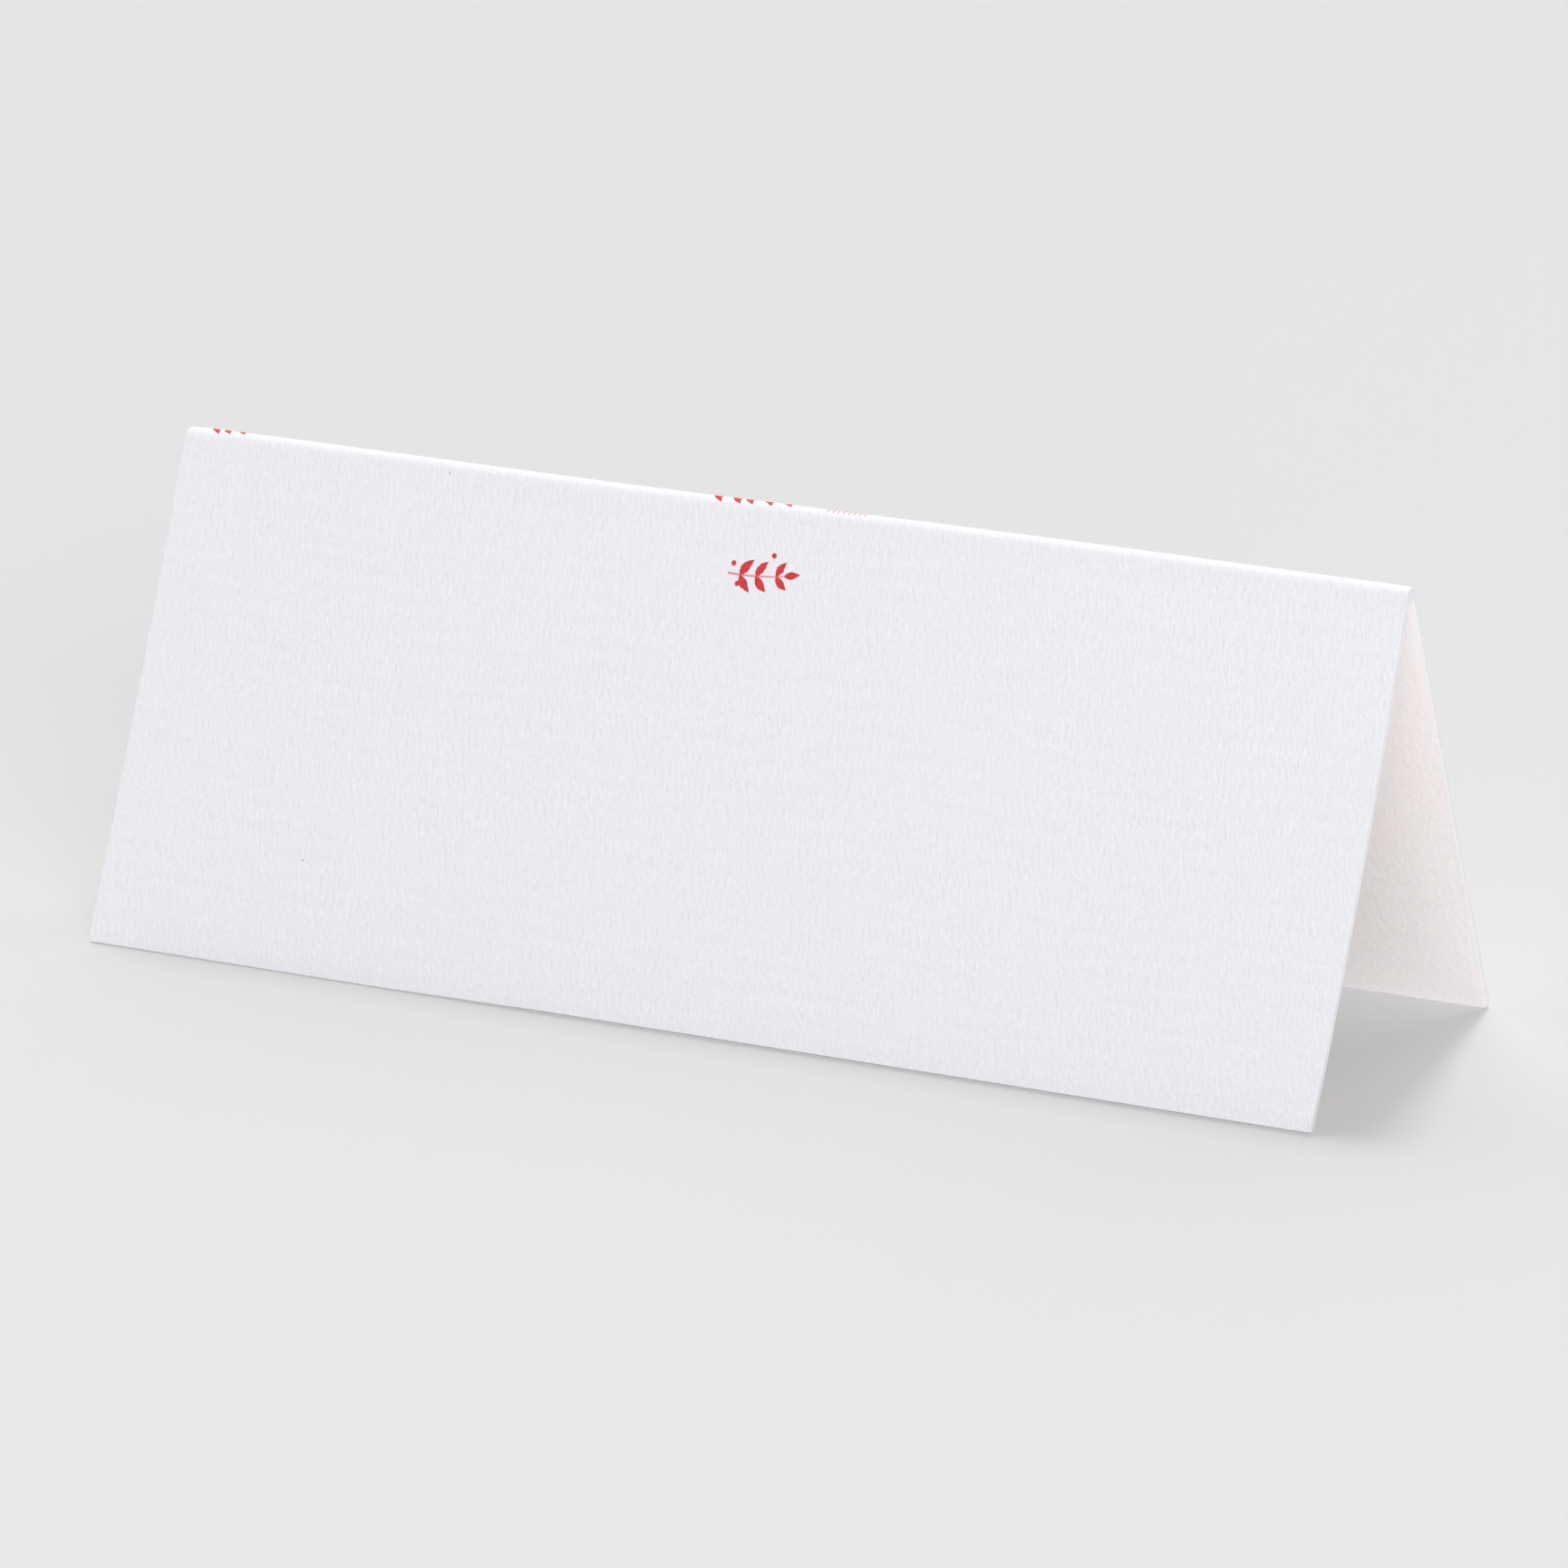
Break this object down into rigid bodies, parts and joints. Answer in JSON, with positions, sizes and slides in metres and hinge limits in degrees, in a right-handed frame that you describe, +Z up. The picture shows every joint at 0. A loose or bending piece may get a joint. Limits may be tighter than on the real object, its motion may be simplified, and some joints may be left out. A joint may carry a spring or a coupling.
{
  "type": "place card",
  "caption": "Tent-folded place card: a sheet of thick textured white card with a rounded, creased fold, standing on its cut edges to show a name at a table setting.",
  "frame": {"origin": "on the table, midway between the feet of the two panels and midway along the fold", "axes": "+Z up, +X along the fold, the front panel towards -Y"},
  "size_m": [0.1, 0.033, 0.0362],
  "materials": {
    "card": "uncoated matte white with a faint felt and laid grain"
  },
  "bodies": {
    "root": {"folded_card": "card"}
  },
  "joints": []
}
